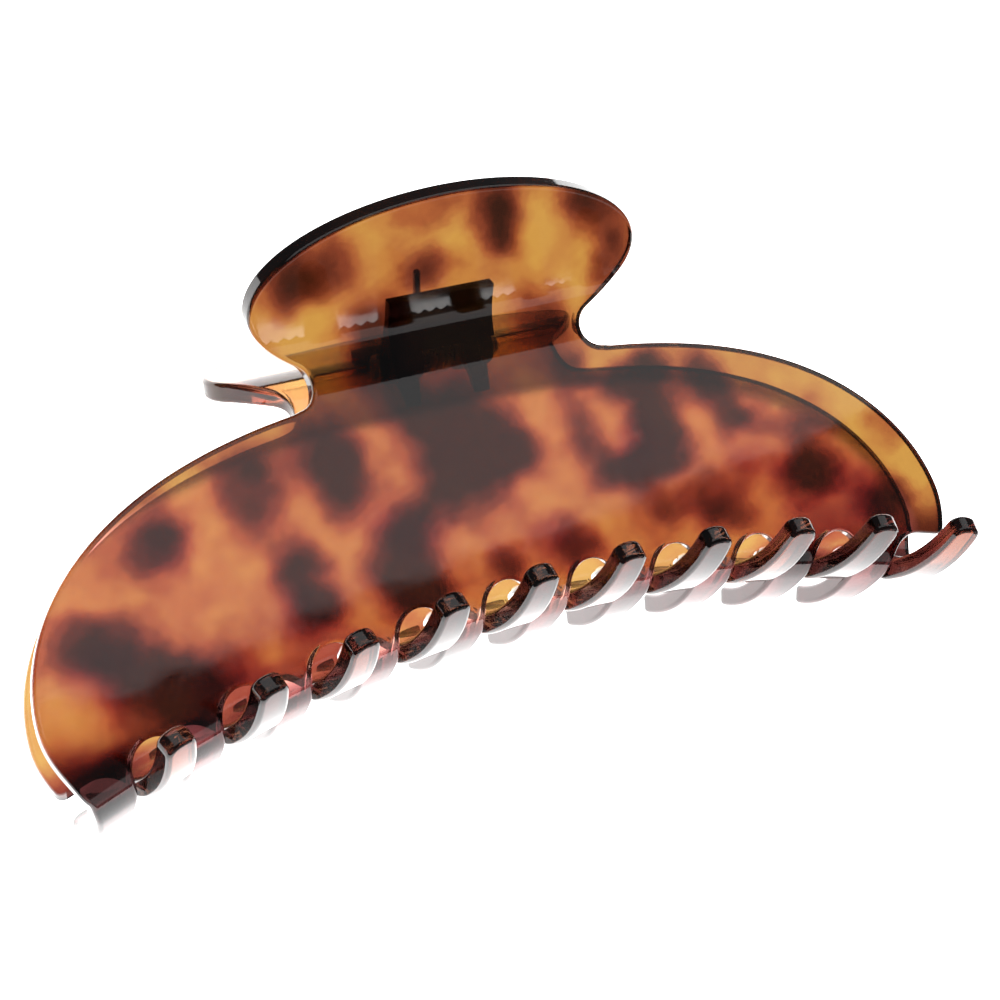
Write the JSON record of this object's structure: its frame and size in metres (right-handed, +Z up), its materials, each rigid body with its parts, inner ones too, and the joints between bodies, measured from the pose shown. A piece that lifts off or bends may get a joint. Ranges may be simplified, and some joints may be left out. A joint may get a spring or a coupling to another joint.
{
  "type": "hair claw clip",
  "caption": "Half-moon claw clip: two equal bent sheet jaws with interlocking curved teeth and oval thumb tabs, hinged on a sprung pin.",
  "frame": {"origin": "on the table, under the middle of the closed clip's box", "axes": "+X along the clip, +Y from the teeth towards the thumb tabs, +Z up from the back jaw, which the clip lies on, to the front jaw"},
  "size_m": [0.1108, 0.0568, 0.042],
  "materials": {
    "acetate": "polished tortoiseshell sheet, dark brown blotches on amber",
    "hinge_plastic": "moulded, black",
    "pin_steel": "bright nickel-plated steel",
    "spring_steel": "drawn spring wire"
  },
  "bodies": {
    "back": {"back_jaw": "acetate", "back_hinge_bracket": "hinge_plastic", "hinge_pin": "pin_steel", "pin_retainer": "pin_steel", "torsion_spring": "spring_steel"},
    "front": {"front_jaw": "acetate", "front_hinge_bracket": "hinge_plastic"}
  },
  "joints": [
    {"name": "jaw_hinge", "type": "hinge", "parent": "back", "child": "front", "pos_m": [0, 0.01389, 0.01987], "axis": [-1, 0, 0], "range_deg": [0, 75], "stiffness_Nm_per_rad": 0.12, "springref_deg": -34.38, "deforming": ["torsion_spring"]}
  ]
}
